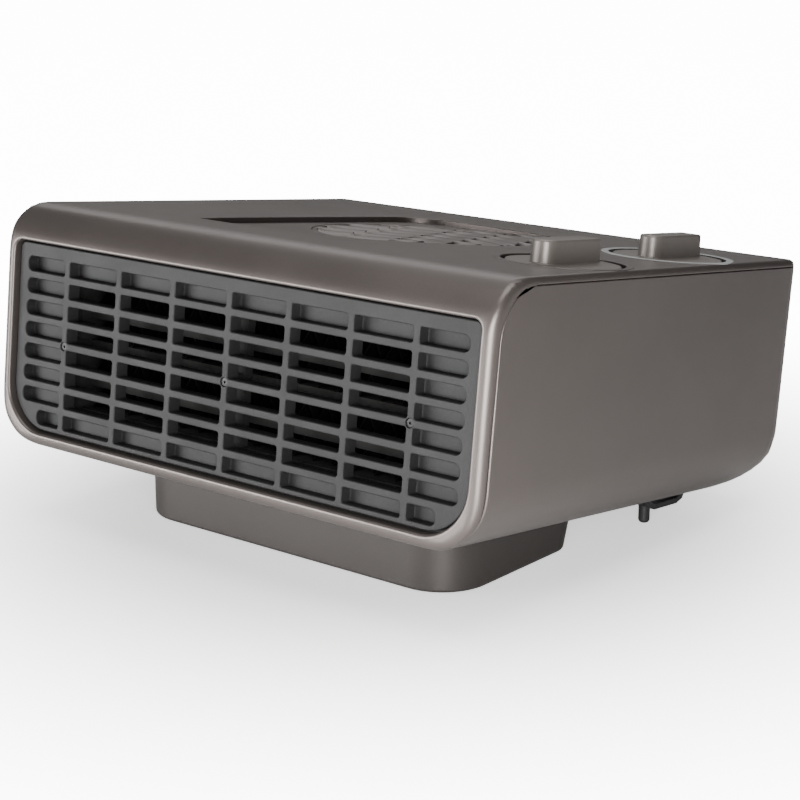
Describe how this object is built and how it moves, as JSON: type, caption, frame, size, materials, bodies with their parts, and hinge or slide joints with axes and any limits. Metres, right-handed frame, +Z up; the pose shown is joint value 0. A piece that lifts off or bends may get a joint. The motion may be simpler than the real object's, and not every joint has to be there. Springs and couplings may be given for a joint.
{
  "type": "ceramic space heater",
  "caption": "Low box-shaped ceramic fan heater on a pedestal foot, with a wide outlet grille, a louvred top intake, two rotary knobs and a tip-over lever.",
  "frame": {"origin": "centre of the bounding box's base, on the floor plane", "axes": "+Z up; the outlet grille faces -Y; +X is to the right seen from the front"},
  "size_m": [0.25, 0.2261, 0.1316],
  "materials": {
    "bronze_shell": "satin metallic paint on moulded plastic",
    "foot_plastic": "satin metallic paint on moulded plastic",
    "grille_plastic": "fine-grained heat-proof moulding",
    "knob_plastic": "satin metallic paint on moulded plastic",
    "ring_plastic": "satin light grey",
    "black_plastic": "matt moulded plastic",
    "black_rubber": "matt",
    "phenolic": "heat-proof moulding",
    "cutout_case": "phenolic moulding",
    "steel": "zinc-plated",
    "lamination_steel": "stacked sheet",
    "copper_wire": "enamelled winding wire",
    "bronze_bush": "sintered",
    "contact_brass": "bright",
    "heating_ceramic": "flat sleeve over ceramic stones",
    "fin_aluminium": "rolled strip"
  },
  "bodies": {
    "housing": {"upper_shell": "bronze_shell", "lower_shell": "bronze_shell", "front_grille": "grille_plastic", "grille_screws": "steel", "top_intake_grille": "bronze_shell", "rear_cover": "bronze_shell", "rear_cover_screws": "steel", "housing_screws": "steel", "foot": "foot_plastic", "foot_screws": "steel", "foot_pads": "black_rubber", "selector_dial_ring": "bronze_shell", "thermostat_dial_ring": "ring_plastic", "selector_switch": "phenolic", "thermostat_body": "phenolic", "control_nuts": "steel", "heater_frame": "phenolic", "ceramic_bars": "heating_ceramic", "heater_fins": "fin_aluminium", "electrode_tabs": "contact_brass", "thermal_cutout": "cutout_case", "blower_housing": "black_plastic", "blower_cover": "black_plastic", "motor_stator": "lamination_steel", "motor_coil": "copper_wire", "motor_brackets": "steel", "motor_bushes": "bronze_bush", "motor_screws": "steel", "tip_lever_pin": "steel", "tip_lever_spring": "steel", "tip_switch": "black_plastic", "cord_inlet": "black_rubber", "terminal_block": "phenolic", "terminal_screws": "steel"},
    "selector": {"selector_knob": "knob_plastic", "selector_shaft": "steel"},
    "thermostat": {"thermostat_knob": "knob_plastic", "thermostat_shaft": "steel"},
    "fan": {"impeller": "black_plastic", "motor_rotor": "lamination_steel", "motor_shaft": "steel"},
    "tip_lever": {"tip_lever": "black_plastic"},
    "tip_leaf": {"tip_switch_leaf": "contact_brass"}
  },
  "joints": [
    {"name": "selector_turn", "type": "hinge", "parent": "housing", "child": "selector", "pos_m": [0.097, -0.02225, 0.1205], "axis": [0, -0.1219, -0.9925], "range_deg": [0, 135]},
    {"name": "thermostat_turn", "type": "hinge", "parent": "housing", "child": "thermostat", "pos_m": [0.097, 0.05219, 0.11136], "axis": [0, -0.1219, -0.9925], "range_deg": [0, 270]},
    {"name": "fan_spin", "type": "hinge", "parent": "housing", "child": "fan", "pos_m": [0.006, 0.00773, 0.06111], "axis": [0, 0.1219, 0.9925], "continuous": true},
    {"name": "tip_lever_swing", "type": "hinge", "parent": "housing", "child": "tip_lever", "pos_m": [0.0957, 0.02828, 0.0233], "axis": [-1, 0, 0], "range_deg": [0, 12]},
    {"name": "tip_leaf_bend", "type": "hinge", "parent": "housing", "child": "tip_leaf", "pos_m": [0.0957, 0.04658, 0.026], "axis": [-1, 0, 0], "range_deg": [0, 9]}
  ],
  "couplings": [
    {"joint": "tip_leaf_bend", "follows": "tip_lever_swing", "ratio": 0.75}
  ]
}
